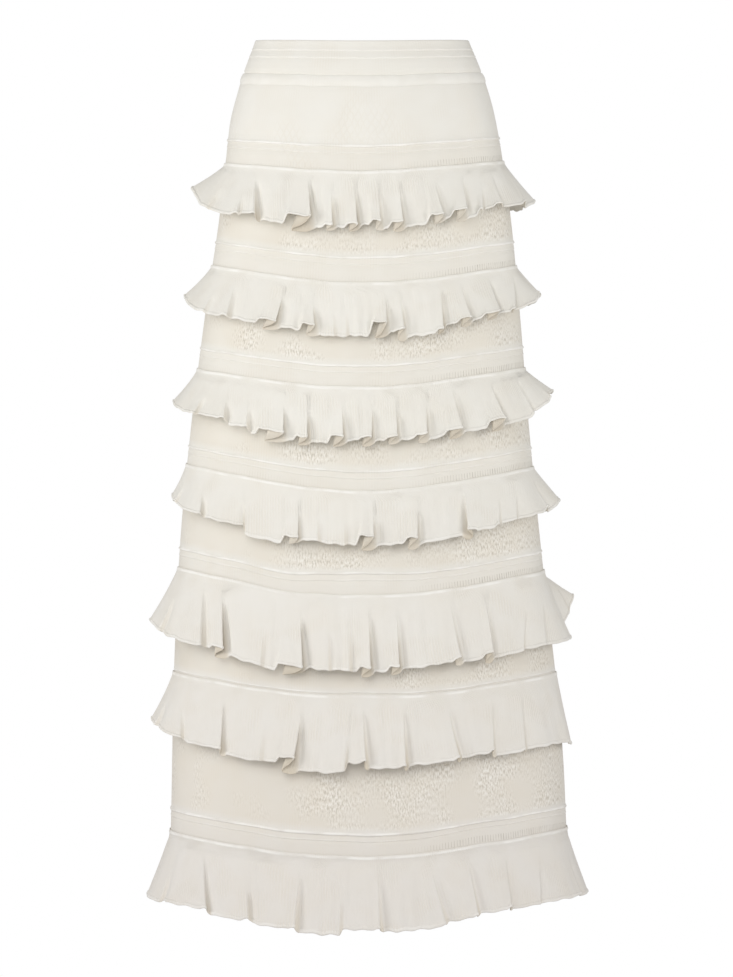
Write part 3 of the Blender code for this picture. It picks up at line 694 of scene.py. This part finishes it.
GRAIN_ACROSS, GRAIN_UP = 640.0, 240.0
LOOSE_SCALE, LOOSE_TOWARDS_X, LOOSE_EDGES = 19.0, 0.5, (0.44, 0.66)  # where the net is open
EYELET_GRAIN, KNOT_GRAIN = (0.54, 0.64), (0.46, 0.40)
# Knots get painted highlight; the net is deeper, partly its own tone and partly painted shade under
# the hems; eyelets and slots get painted shade besides their openings.
KNOT_LIGHT, NET_DEEP, GAP_DEEP, GAP_BUMP, GAP_CLEARNESS = 0.6, 0.26, 0.20, 0.8, 0.18


def stitch_height(shade, u, v):
    """Columns of small knit loops, a V in each."""
    column = shade.math("PINGPONG", shade.math("DIVIDE", u, WALE), 0.5)
    row = shade.add(shade.math("DIVIDE", v, COURSE), shade.times(column, LOOP_LEAN))
    ridge = shade.math("POWER", shade.times(column, 2.0), LOOP_ROUNDNESS)
    return shade.times(shade.wave(row, 1.0), ridge)


def grain(shade, u, v):
    """A fine uneven grain, taller than wide, about 0 to 1."""
    place = shade.node("ShaderNodeCombineXYZ")
    shade.link(shade.times(u, GRAIN_ACROSS), place.inputs[0])
    shade.link(shade.times(v, GRAIN_UP), place.inputs[1])
    return shade.noise(1.0, 1.0, place.outputs[0])


def slots(shade, u, ladder):
    """Upright slots in the ladder row, clearest towards one side."""
    slot = shade.above(shade.wave(u, SLOT_PITCH), *SLOT_EDGES)
    clear = shade.times(shade.above(shade.x, *SLOTS_CLEAR), SLOT_CLEAR)
    faint = shade.times(shade.patches(FAINT_SLOT_PATCHES), SLOT_FAINT)
    breaks = shade.noise(SLOT_BREAKS_SCALE, 1.0)
    breaks = shade.scaled(breaks, SLOT_BREAKS, SLOT_BREAKS_SHIFT, clamp=True)
    strength = shade.times(shade.math("MAXIMUM", clear, faint), breaks)
    return shade.times(shade.times(slot, ladder), strength)


def lattice(shade, u, v):
    """A faint diamond pattern, only here and there."""
    u = shade.scaled(shade.noise(LATTICE_BEND_SCALE, 1.0), LATTICE_BEND, u)
    slope = shade.times(v, LATTICE_SLOPE)
    rising = shade.wave(shade.add(u, slope), LATTICE_PITCH)
    falling = shade.wave(shade.less(u, slope), LATTICE_PITCH)
    lines = shade.above(shade.math("MAXIMUM", rising, falling), *LATTICE_LINES)
    return shade.times(lines, shade.patches(LATTICE_PATCHES))


def knit(name, ribs, pierced=False, patterned=False):
    """A knit's material. deep is how far its colour goes towards the deep ivory, which is partly
    painted shade; light is painted highlight, and inside is painted shade.
    """
    shade = Shade(name)
    u, v = shade.map("cloth")
    net, ladder = shade.map("zones")
    # light is the map of painted highlight, inside the map of painted shade.
    light, inside = shade.map("lines")
    # The painted highlight comes and goes in patches.
    light = shade.times(light, shade.scaled(shade.patches(HIGHLIGHT_PATCHES), HIGHLIGHT_MOST, HIGHLIGHT_LEAST))
    stitches = stitch_height(shade, u, v)
    # Painted shade in the grooves between ribs, here and there.
    gaps_between = shade.less(1.0, shade.wave(u, ribs.pitch, ribs.shift))
    groove = shade.times(gaps_between, shade.patches(GROOVE_PATCHES))
    blotch = shade.scaled(shade.noise(BLOTCH_SCALE, 2.0), BLOTCH_DEPTH, -BLOTCH_DEPTH / 2)
    deep = shade.times(groove, ribs.contrast)
    # Painted shade between the stitches' loops.
    deep = shade.add(deep, shade.times(shade.less(1.0, stitches), STITCH_DEEP))
    deep = shade.add(deep, blotch, clamp=True)
    nap = shade.noise(NAP_SCALE, 3.0)
    height = shade.add(shade.times(stitches, STITCH_BUMP), shade.times(nap, NAP_BUMP))
    height = shade.less(height, shade.times(groove, ribs.bump))
    if patterned:
        lines = lattice(shade, u, v)
        height = shade.less(height, shade.times(lines, LATTICE_BUMP))
        deep = shade.add(deep, shade.times(lines, LATTICE_DEEP))
    if pierced:
        speck = grain(shade, u, v)
        uneven = shade.scaled(shade.x, LOOSE_TOWARDS_X, shade.noise(LOOSE_SCALE, 1.0))
        loose = shade.times(net, shade.above(uneven, *LOOSE_EDGES))
        eyelet = shade.times(shade.above(speck, *EYELET_GRAIN), loose)
        knot = shade.times(shade.above(speck, *KNOT_GRAIN), loose)
        gap = shade.math("MAXIMUM", eyelet, slots(shade, u, ladder))
        height = shade.less(height, shade.times(gap, GAP_BUMP))
        # Painted highlight on the knots, the net partly painted shade, and painted shade in eyelets
        # and slots.
        light = shade.math("MAXIMUM", light, shade.times(knot, KNOT_LIGHT))
        deep = shade.add(deep, shade.times(net, NET_DEEP))
        deep = shade.add(deep, shade.times(gap, GAP_DEEP), clamp=True)
        shade.link(shade.less(1.0, shade.times(gap, GAP_CLEARNESS)), shade.shader.inputs["Alpha"])
    deep = shade.less(deep, shade.times(light, LIGHT_OVER_DEEP), clamp=True)
    # Painted shade, darker and greyer towards the bottom.
    low = shade.above(shade.times(shade.z, -1.0), *LOW_SHADE_DOWN)
    ground = shade.mix(light, shade.mix(low, IVORY, IVORY_LOW_SHADE), IVORY_HIGHLIGHT)
    ground = shade.mix(deep, ground, IVORY_DEEP)
    # inside mixes in the painted shade colour.
    shade.link(shade.mix(inside, ground, IVORY_SHADE), shade.shader.inputs["Base Color"])
    normal = shade.bump(height, BUMP_DISTANCE, BUMP_STRENGTH)
    shade.link(normal, shade.shader.inputs["Normal"])
    return shade.material


# ---------------------------------------------------------------- pieces
# Cross-sections of raised lines: how far down from the line's middle, and how far raised.
RIDGE_PROFILE = (
    (-0.0022, 0.0), (-0.0016, 0.00025), (-0.0010, 0.0008), (-0.0004, 0.00115), (0.0002, 0.00125),
    (0.0008, 0.00112), (0.0013, 0.0006), (0.0016, -0.0001), (0.0021, -0.00035), (0.0030, 0.0),
)
FINE_PROFILE = (
    (-0.0013, 0.0), (-0.0007, 0.0002), (-0.0001, 0.0004), (0.0004, 0.0003), (0.0008, -0.0001),
    (0.0012, -0.0003), (0.0018, 0.0),
)
# The share of painted highlight on a fine raised line.
FINE_LIGHT = 0.5

# The waistband's top edge and the groove over its welt: how far down from the edge or the welt's
# top, and how far raised. The welt's rows are shares of its depth.
TOP_EDGE_ROWS = ((0.0, -0.0005), (0.0004, 0.0), (0.0012, 0.0003), (0.0024, 0.0002))
GROOVE_ROWS = ((-0.0024, 0.0), (-0.0014, -0.0009), (-0.0006, -0.0011))
WELT_ROWS = (0.0, 0.07, 0.16, 0.28, 0.42, 0.56, 0.70, 0.82, 0.92, 1.0)
WELT_START, WELT_SPAN = 0.06, 0.93  # the part of a half circle that a welt's face takes up
# WELT_LIGHT is painted highlight on the welt's face.
WELT_ROUNDNESS, WELT_SUNK, WELT_LIGHT = 0.7, 0.0003, 0.3
SEAM_LAP, LAP_RAISED = 0.0008, 0.0001  # how far the welt laps over the yoke's top edge
PANEL_EDGE, PANEL_EDGE_SUNK = 0.0006, 0.0002  # how a panel's top comes out of the seam

LADDER_TOP, LADDER_FOOT, LADDER_BLUR = 0.0090, 0.0022, 0.0008
LADDER_ROWS_UP = (LADDER_TOP, LADDER_TOP - LADDER_BLUR, LADDER_FOOT + LADDER_BLUR, LADDER_FOOT)
NET_OVER_RIDGE, NET_BLUR = 0.004, 0.0020
NO_NET = 1.0  # a height over the foot that no panel reaches
BAND_SHADE, BAND_BLUR = 0.13, 0.0030  # how far a band is towards the inside's shade
# Painted shade on a panel's inner face.
PANEL_INSIDE_SHADE = 0.28

# The ruffle's rolled edges: how far down from the seam or up from the hem, and how far raised.
BEAD_ROWS = (
    (-0.0027, -1.35), (-0.0021, -0.5), (-0.0014, 0.4), (-0.0006, 0.9), (0.0002, 1.0), (0.0010, 0.6),
    (0.0018, 0.0),
)
BEAD_HEIGHT, BEAD_BROKEN = 0.00048, 0.35  # and the share of a bead's height that goes with the ribs
LIP_ROWS = (
    (0.0050, 0.0), (0.0044, -0.05), (0.0039, 0.35), (0.0032, 0.95), (0.0021, 1.1), (0.0011, 0.95),
    (0.0004, 0.55), (0.0, -0.4),
)
# LIP_LIGHT is painted highlight on the hem's rolled lip.
LIP_HEIGHT, LIP_BROKEN, LIP_LIGHT = 0.0007, 0.12, 0.4
LIP_RIBBED = 0.35  # how high the ribs are on the lip, as a share of elsewhere
RIBS_MEAN, RIBS_LEAST, RIBS_MOST = 0.25, 0.12, 1.5  # the ribs' height, over its uneven patches
RIB_STRAY, RIB_STRAY_TURN = 0.5, 2.399  # how unlike its neighbours a rib is in height
# Painted shade on a ruffle's inner face.
RUFFLE_INSIDE_SHADE = 0.16
INNER_DOWN = (0.0, 0.05, 0.13, 0.26, 0.42, 0.60, 0.80, 1.0)  # shares of the ruffle's length
INNER_HEM_UP = 0.0005


def with_steps_filled(rows):
    rows = np.array(rows)
    filled = [rows[0]]
    for row in rows[1:]:
        before = filled[-1]
        steps = math.ceil((row[0] - before[0]) / LONGEST_STEP)
        filled += [before + (row - before) * i / steps for i in range(1, steps)]
        filled.append(row)
    return np.array(filled)


# A raised line's rows, with painted highlight where it stands highest.
def raised_line(down, profile, light=1.0):
    top = max(raised for _, raised in profile)
    return [(down + step, raised, light * max(raised, 0.0) / top) for step, raised in profile]


def rows_kept(down, marks):
    """The rows of an inner face: the ends, those beside a change of knit, and a few between."""
    kept = [0]
    last = len(down) - 1
    for i in range(1, last):
        before = np.abs(marks[i, :2] - marks[i - 1, :2]).max()
        after = np.abs(marks[i, :2] - marks[i + 1, :2]).max()
        if before + after > 0.01 or down[i + 1] - down[kept[-1]] > LONGEST_INNER_STEP:
            kept.append(i)
    return kept + [last]


def declare(tube, flat, area):
    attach(tube, "root")
    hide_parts(f"{tube.name}_front", f"{tube.name}_back")
    area = min(area, flat[0] * flat[1])


def add_panel(name, rows, foot, band, has_ladder, material, slot):
    """rows holds how far down each row is, how far it is raised, and how much painted highlight it
    has. band is how far the raised ridge is over the foot: the knit below it gets painted shade,
    that above may be net."""
    turns = np.arange(PANEL_COLUMNS) * 360.0 / PANEL_COLUMNS
    rows = with_steps_filled(rows)
    down, raised = rows[:, :1], rows[:, 1:2]
    top, bottom = rows[0, 0], rows[-1, 0]
    up = foot - rows[:, 0]
    net_above = band + NET_OVER_RIDGE if slot == "net_knit" else NO_NET
    net = smooth_step((up - net_above) / NET_BLUR) * smooth_step((foot - top - up) / NET_BLUR - 1.0)
    ladder = smooth_step((up - LADDER_FOOT) / LADDER_BLUR)
    ladder = ladder * smooth_step((LADDER_TOP - up) / LADDER_BLUR)
    # Painted shade on the band below the ridge.
    shade = BAND_SHADE * smooth_step((band - up) / BAND_BLUR)
    marks = np.stack([net, ladder * has_ladder, rows[:, 2], shade], -1)
    kept = rows_kept(rows[:, 0], marks)
    inner_marks = marks[kept]
    # Painted shade on the inner face.
    inner_marks[:, 3] = PANEL_INSIDE_SHADE
    outer = Face(body_points(down, turns[None, :], raised), up, marks[:, None])
    inner_points = body_points(down[kept], turns[None, :], -WALL)
    inner = Face(inner_points, up[kept], inner_marks[:, None])
    middle = body_points((top + bottom) / 2, turns, 0.0)
    cloth_u = np.concatenate([[0.0], np.cumsum(steps_round(middle))[:-1]])
    tube = add_tube(name, outer, inner, cloth_u, material)
    flat = (max(ring_length(outer.points[0]), ring_length(outer.points[-1])), bottom - top)
    declare(tube, flat, ring_length(middle) * (bottom - top))
    return tube


def add_waistband(material):
    rows = [(down, raised, 0) for down, raised in TOP_EDGE_ROWS]
    for down in WAISTBAND_LINES_DOWN:
        rows += raised_line(down, FINE_PROFILE, FINE_LIGHT)
    welt_top = WAISTBAND_DEPTH - WELT_DEPTH
    rows += [(welt_top + down, raised, 0) for down, raised in GROOVE_ROWS]
    for share in WELT_ROWS:
        bulge = math.sin(math.pi * (WELT_START + WELT_SPAN * share)) ** WELT_ROUNDNESS
        rows.append((welt_top + WELT_DEPTH * share, WELT_HEIGHT * bulge - WELT_SUNK, WELT_LIGHT))
    rows.append((WAISTBAND_DEPTH + SEAM_LAP, LAP_RAISED, 0))
    return add_panel("waistband", rows, WAISTBAND_DEPTH, 0.0, 0.0, material, "plain_knit")


def add_body(yoke_knit, net_knit, above_it):
    """The yoke and the panels below it, each with a raised line or two over its lower seam."""
    panels = []
    top = WAISTBAND_DEPTH + SEAM_GAP
    for number, seam in enumerate(SEAMS):
        has_band = seam.band >= LEAST_FULL_BAND
        ridge = seam.down - seam.band
        rows = [(top, -PANEL_EDGE_SUNK, 0), (top + PANEL_EDGE, 0.0, 0)]
        rows += raised_line(ridge, RIDGE_PROFILE if has_band else FINE_PROFILE)
        if has_band:
            rows += raised_line(ridge + FINE_RIDGE_BELOW, FINE_PROFILE, FINE_LIGHT)
            rows += [(seam.down - up, 0.0, 0) for up in LADDER_ROWS_UP]
        rows.append((seam.down, 0.0, 0))
        if number == 0:
            name, material, slot = "yoke", yoke_knit, "plain_knit"
        else:
            name, material, slot = f"panel_{number + 1}", net_knit, "net_knit"
        ladder = float(has_band)
        above_it = add_panel(name, rows, seam.down, seam.band, ladder, material, slot)
        panels.append(above_it)
        top = seam.down + SEAM_GAP
    return panels


def ruffle_rows(number, folds, along, columns, gather):
    """Rows at distances along the cloth from the seam, those above the seam straight up from it."""
    share = np.maximum(along, 0.0) / RUFFLES[number].length
    share, columns, gather = share[:, None], columns[None, :], gather[None, :]
    points, hidden = ruffle_surface(number, folds, share, columns, gather)
    points[..., 2] -= np.minimum(along, 0.0)[:, None]
    return points, hidden


def ruffle_columns(number, folds):
    """For each column of stitches: how far round (0 to 1) it is, the turn where it meets the hem,
    and how much further round it starts. Last, how many ribs there are."""
    dense = np.arange(HEM_SAMPLES) * 360.0 / HEM_SAMPLES
    hem = ruffle_surface(number, folds, np.array([[HEM_SAMPLED_AT]]), dense[None, :])[0][0]
    run = np.concatenate([[0.0], np.cumsum(steps_round(hem))])
    ribs = round(float(run[-1]) / RIB_PITCH)
    place = np.arange(ribs * RIB_COLUMNS) / (ribs * RIB_COLUMNS)
    columns = np.interp(place * run[-1], run, np.append(dense, 360.0))
    gather = 360.0 * place - columns - lean_at(folds, columns)
    return place, columns, gather - gather.mean(), ribs


def rib_heights(number, base, share, columns):
    """Whether each place is on a rib or between two, from 1 to -1, and how high the ribs are."""
    index = np.arange(len(columns))
    rib = np.where(index % RIB_COLUMNS == 1, 1.0, -1.0)[None, :]
    spacing = steps_round(base, axis=1) / (RIB_PITCH / RIB_COLUMNS)
    rib = rib * np.clip(spacing, 0.0, 1.0) ** 2
    patch = RIBS_MEAN + waves(RIB_PATCHES, np.radians(columns)[None, :], share, number)
    uneven = 1.0 + RIB_STRAY * np.sin(index // RIB_COLUMNS * RIB_STRAY_TURN + number)[None, :]
    return rib, np.clip(patch, RIBS_LEAST, RIBS_MOST) * uneven


def add_ruffle(number, material):
    ruffle = RUFFLES[number]
    folds = folds_of(number)
    place, columns, gather, ribs = ruffle_columns(number, folds)
    beads, lips = len(BEAD_ROWS), len(LIP_ROWS)
    top_rows = [down for down, _ in BEAD_ROWS]
    lip_rows = [ruffle.length - up for up, _ in LIP_ROWS]
    middle = np.linspace(top_rows[-1], lip_rows[0], MIDDLE_ROWS + 2)[1:-1]
    along = np.array([*top_rows, *middle, *lip_rows])
    share = (along / ruffle.length)[:, None]
    base, hidden = ruffle_rows(number, folds, along, columns, gather)

    rib, rib_height = rib_heights(number, base, share, columns)
    bead, lip, ribbed = np.zeros(len(along)), np.zeros(len(along)), np.ones(len(along))
    bead[:beads] = [raised for _, raised in BEAD_ROWS]
    lip[-lips:] = [raised for _, raised in LIP_ROWS]
    ribbed[:beads], ribbed[-lips:] = 0.0, LIP_RIBBED
    raised = (
        RIB_HEIGHT * rib * rib_height * ribbed[:, None]
        + LIP_HEIGHT * lip[:, None] * (1.0 + LIP_BROKEN * rib) * (1.0 - hidden)
        + BEAD_HEIGHT * bead[:, None] * (1.0 - BEAD_BROKEN + BEAD_BROKEN * rib)
    )
    # Painted highlight on the lips and beads, left off the cloth hidden in a fold.
    marks = np.zeros((*base.shape[:2], 4))
    light = np.clip(np.maximum(LIP_LIGHT * lip, bead), 0.0, 1.0)
    marks[..., 2] = light[:, None] * (1.0 - hidden)
    # Painted shade on the cloth hidden in a fold, more towards the hem.
    marks[..., 3] = hidden * share**3
    outer_points = base + normals_of(base) * raised[..., None]
    outer = Face(outer_points, ruffle.length - along, marks)

    inner_along = np.array(INNER_DOWN) * ruffle.length
    inner_along[0] = BEAD_ROWS[0][0]
    inner_along[-1] -= INNER_HEM_UP
    inner_points, inner_hidden = ruffle_rows(number, folds, inner_along, columns, gather)
    inner_points = inner_points - normals_of(inner_points) * RUFFLE_WALL
    inner_share = np.maximum(inner_along, 0.0)[:, None] / ruffle.length
    # Painted shade on the inner face, more where it is hidden in a fold.
    inner_marks = np.zeros((*inner_points.shape[:2], 4))
    inner_marks[..., 3] = RUFFLE_INSIDE_SHADE + (1.0 - RUFFLE_INSIDE_SHADE) * inner_hidden * inner_share**3
    inner = Face(inner_points, ruffle.length - inner_along, inner_marks)

    tube = add_tube(f"ruffle_{number + 1}", outer, inner, place * ribs * RIB_PITCH, material)
    lengths = np.array([ring_length(row) for row in base[beads - 1 :]])
    steps_down = np.diff(along[beads - 1 :])
    area = float(((lengths[1:] + lengths[:-1]) / 2 * steps_down).sum())
    flat = (float(lengths.max()), ruffle.length)
    declare(tube, flat, area)


plain_knit = knit("ivory_plain_knit", FINE_RIBS)
yoke_knit = knit("ivory_yoke_knit", FINE_RIBS, pierced=True, patterned=True)
net_knit = knit("ivory_net_knit", FINE_RIBS, pierced=True)
rib_knit = knit("ivory_rib_knit", RUFFLE_RIBS)
waistband = add_waistband(plain_knit)
panels = add_body(yoke_knit, net_knit, waistband)
for number, panel in enumerate(panels):
    add_ruffle(number, rib_knit)


# ---------------------------------------------------------------- camera, light and floor
CAMERA_PLACE, CAMERA_AIM = Vector((0.0, -12.0, -0.30)), Vector((0.0, 0.0, -0.4865))
IMAGE_HEIGHT, PIXEL = 977, 1.0866e-3  # in pixels, and metres to a pixel at the point aimed at
SHIFT_PIXELS = 4.5
SENSOR, FAR_CLIP = 36.0, 100.0

Lamp = namedtuple("Lamp", "name place aim size power")
LAMPS = (
    Lamp("key", (-0.5, -1.60, 0.22), (-0.02, 0, -0.10), 1.2, 7.0),
    Lamp("front_fill", (-0.3, -3.0, 0.0), (0, 0, -0.35), 1.6, 14.0),
    Lamp("right_fill", (3.0, -1.4, 0.15), (0, 0, -0.20), 2.0, 44.5),
    Lamp("left_fill", (-3.0, -1.0, 0.15), (0, 0, -0.20), 2.0, 42.0),
)
AMBIENT = 0.35
FLOOR_CORNERS, FLOOR_RADIUS, FLOOR_HEIGHT = 96, 2.4, -1.25
FLOOR_COLOUR, FLOOR_ROUGHNESS = (0.86, 0.86, 0.86, 1), 0.9


def point_at(thing, place, aim):
    thing.location = place
    thing.rotation_euler = (Vector(aim) - Vector(place)).to_track_quat("-Z", "Y").to_euler()


def add_camera():
    data = bpy.data.cameras.new("camera")
    camera = add_object("camera", data)
    point_at(camera, CAMERA_PLACE, CAMERA_AIM)
    data.sensor_width = SENSOR
    data.lens = SENSOR * (CAMERA_AIM - CAMERA_PLACE).length / (PIXEL * IMAGE_HEIGHT)
    data.shift_x = SHIFT_PIXELS / IMAGE_HEIGHT
    data.clip_end = FAR_CLIP
    bpy.context.scene.camera = camera


def add_lamp(lamp):
    data = bpy.data.lights.new(lamp.name, "AREA")
    data.shape, data.size, data.energy = "DISK", lamp.size, lamp.power
    point_at(add_object(lamp.name, data), lamp.place, lamp.aim)


def add_floor():
    angles = [2 * math.pi * i / FLOOR_CORNERS for i in range(FLOOR_CORNERS)]
    ring = [(FLOOR_RADIUS * math.cos(a), FLOOR_RADIUS * math.sin(a), FLOOR_HEIGHT) for a in angles]
    mesh = bpy.data.meshes.new("floor")
    mesh.from_pydata(ring, [], [list(range(FLOOR_CORNERS))])
    material = bpy.data.materials.new("pale_floor")
    material.use_nodes = True
    shader = material.node_tree.nodes["Principled BSDF"]
    shader.inputs["Base Color"].default_value = FLOOR_COLOUR
    shader.inputs["Roughness"].default_value = FLOOR_ROUGHNESS
    mesh.materials.append(material)
    add_object("floor", mesh)


def add_world():
    """Even white light, and a pure white ground behind the object."""
    world = bpy.data.worlds.new("studio")
    world.use_nodes = True
    tree = world.node_tree
    soft = tree.nodes["Background"]
    white = tree.nodes.new("ShaderNodeBackground")
    for background, strength in ((soft, AMBIENT), (white, 1.0)):
        background.inputs["Color"].default_value = (1, 1, 1, 1)
        background.inputs["Strength"].default_value = strength
    mix = tree.nodes.new("ShaderNodeMixShader")
    path = tree.nodes.new("ShaderNodeLightPath")
    tree.links.new(path.outputs["Is Camera Ray"], mix.inputs[0])
    tree.links.new(soft.outputs[0], mix.inputs[1])
    tree.links.new(white.outputs[0], mix.inputs[2])
    tree.links.new(mix.outputs[0], tree.nodes["World Output"].inputs["Surface"])
    bpy.context.scene.world = world


add_camera()
add_floor()
add_world()
for lamp in LAMPS:
    add_lamp(lamp)
bpy.context.scene.view_settings.view_transform = "Standard"
